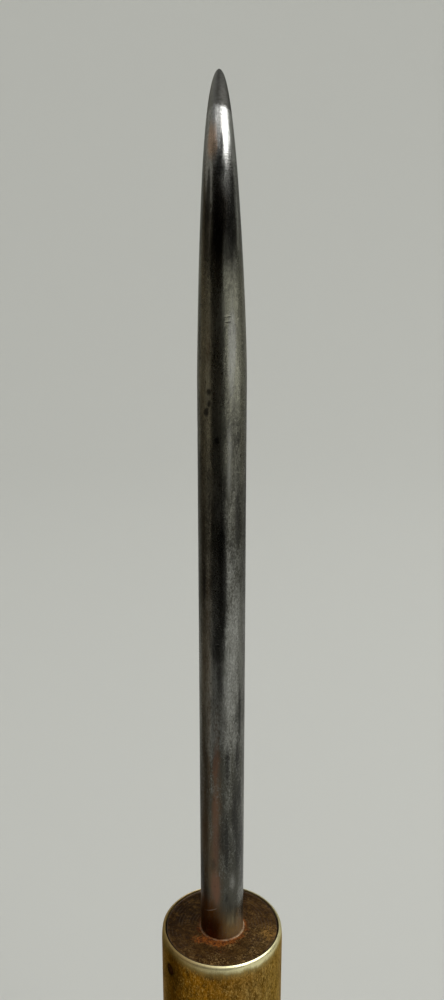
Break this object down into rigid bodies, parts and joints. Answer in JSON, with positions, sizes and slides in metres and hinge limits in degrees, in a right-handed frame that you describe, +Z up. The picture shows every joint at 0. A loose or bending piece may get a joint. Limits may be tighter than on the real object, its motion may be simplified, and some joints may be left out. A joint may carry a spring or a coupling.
{
  "type": "bookbinding awl",
  "caption": "Hand awl with a stout round steel blade bent over at the point, a steel thrust washer, a pinned brass ferrule and a turned wooden grip.",
  "frame": {"origin": "centre of the flat on the handle's butt", "axes": "+Z up the shank's axis from the butt to the point; the point is bent over towards +Y; +X is to the right seen from the front, -Y"},
  "size_m": [0.0336, 0.0336, 0.2624],
  "materials": {
    "handle_wood": "oiled and worn, with a dull shellac sheen",
    "ferrule_brass": "brown patina, worn bright at the lip",
    "washer_steel": "brown patina, orange rust round the blade",
    "pin_steel": "dark, filed flush",
    "blade_steel": "polished and worn, with brown and grey patina"
  },
  "bodies": {
    "root": {"handle": "handle_wood", "ferrule": "ferrule_brass", "thrust_washer": "washer_steel", "cross_pin": "pin_steel", "blade": "blade_steel"}
  },
  "joints": []
}
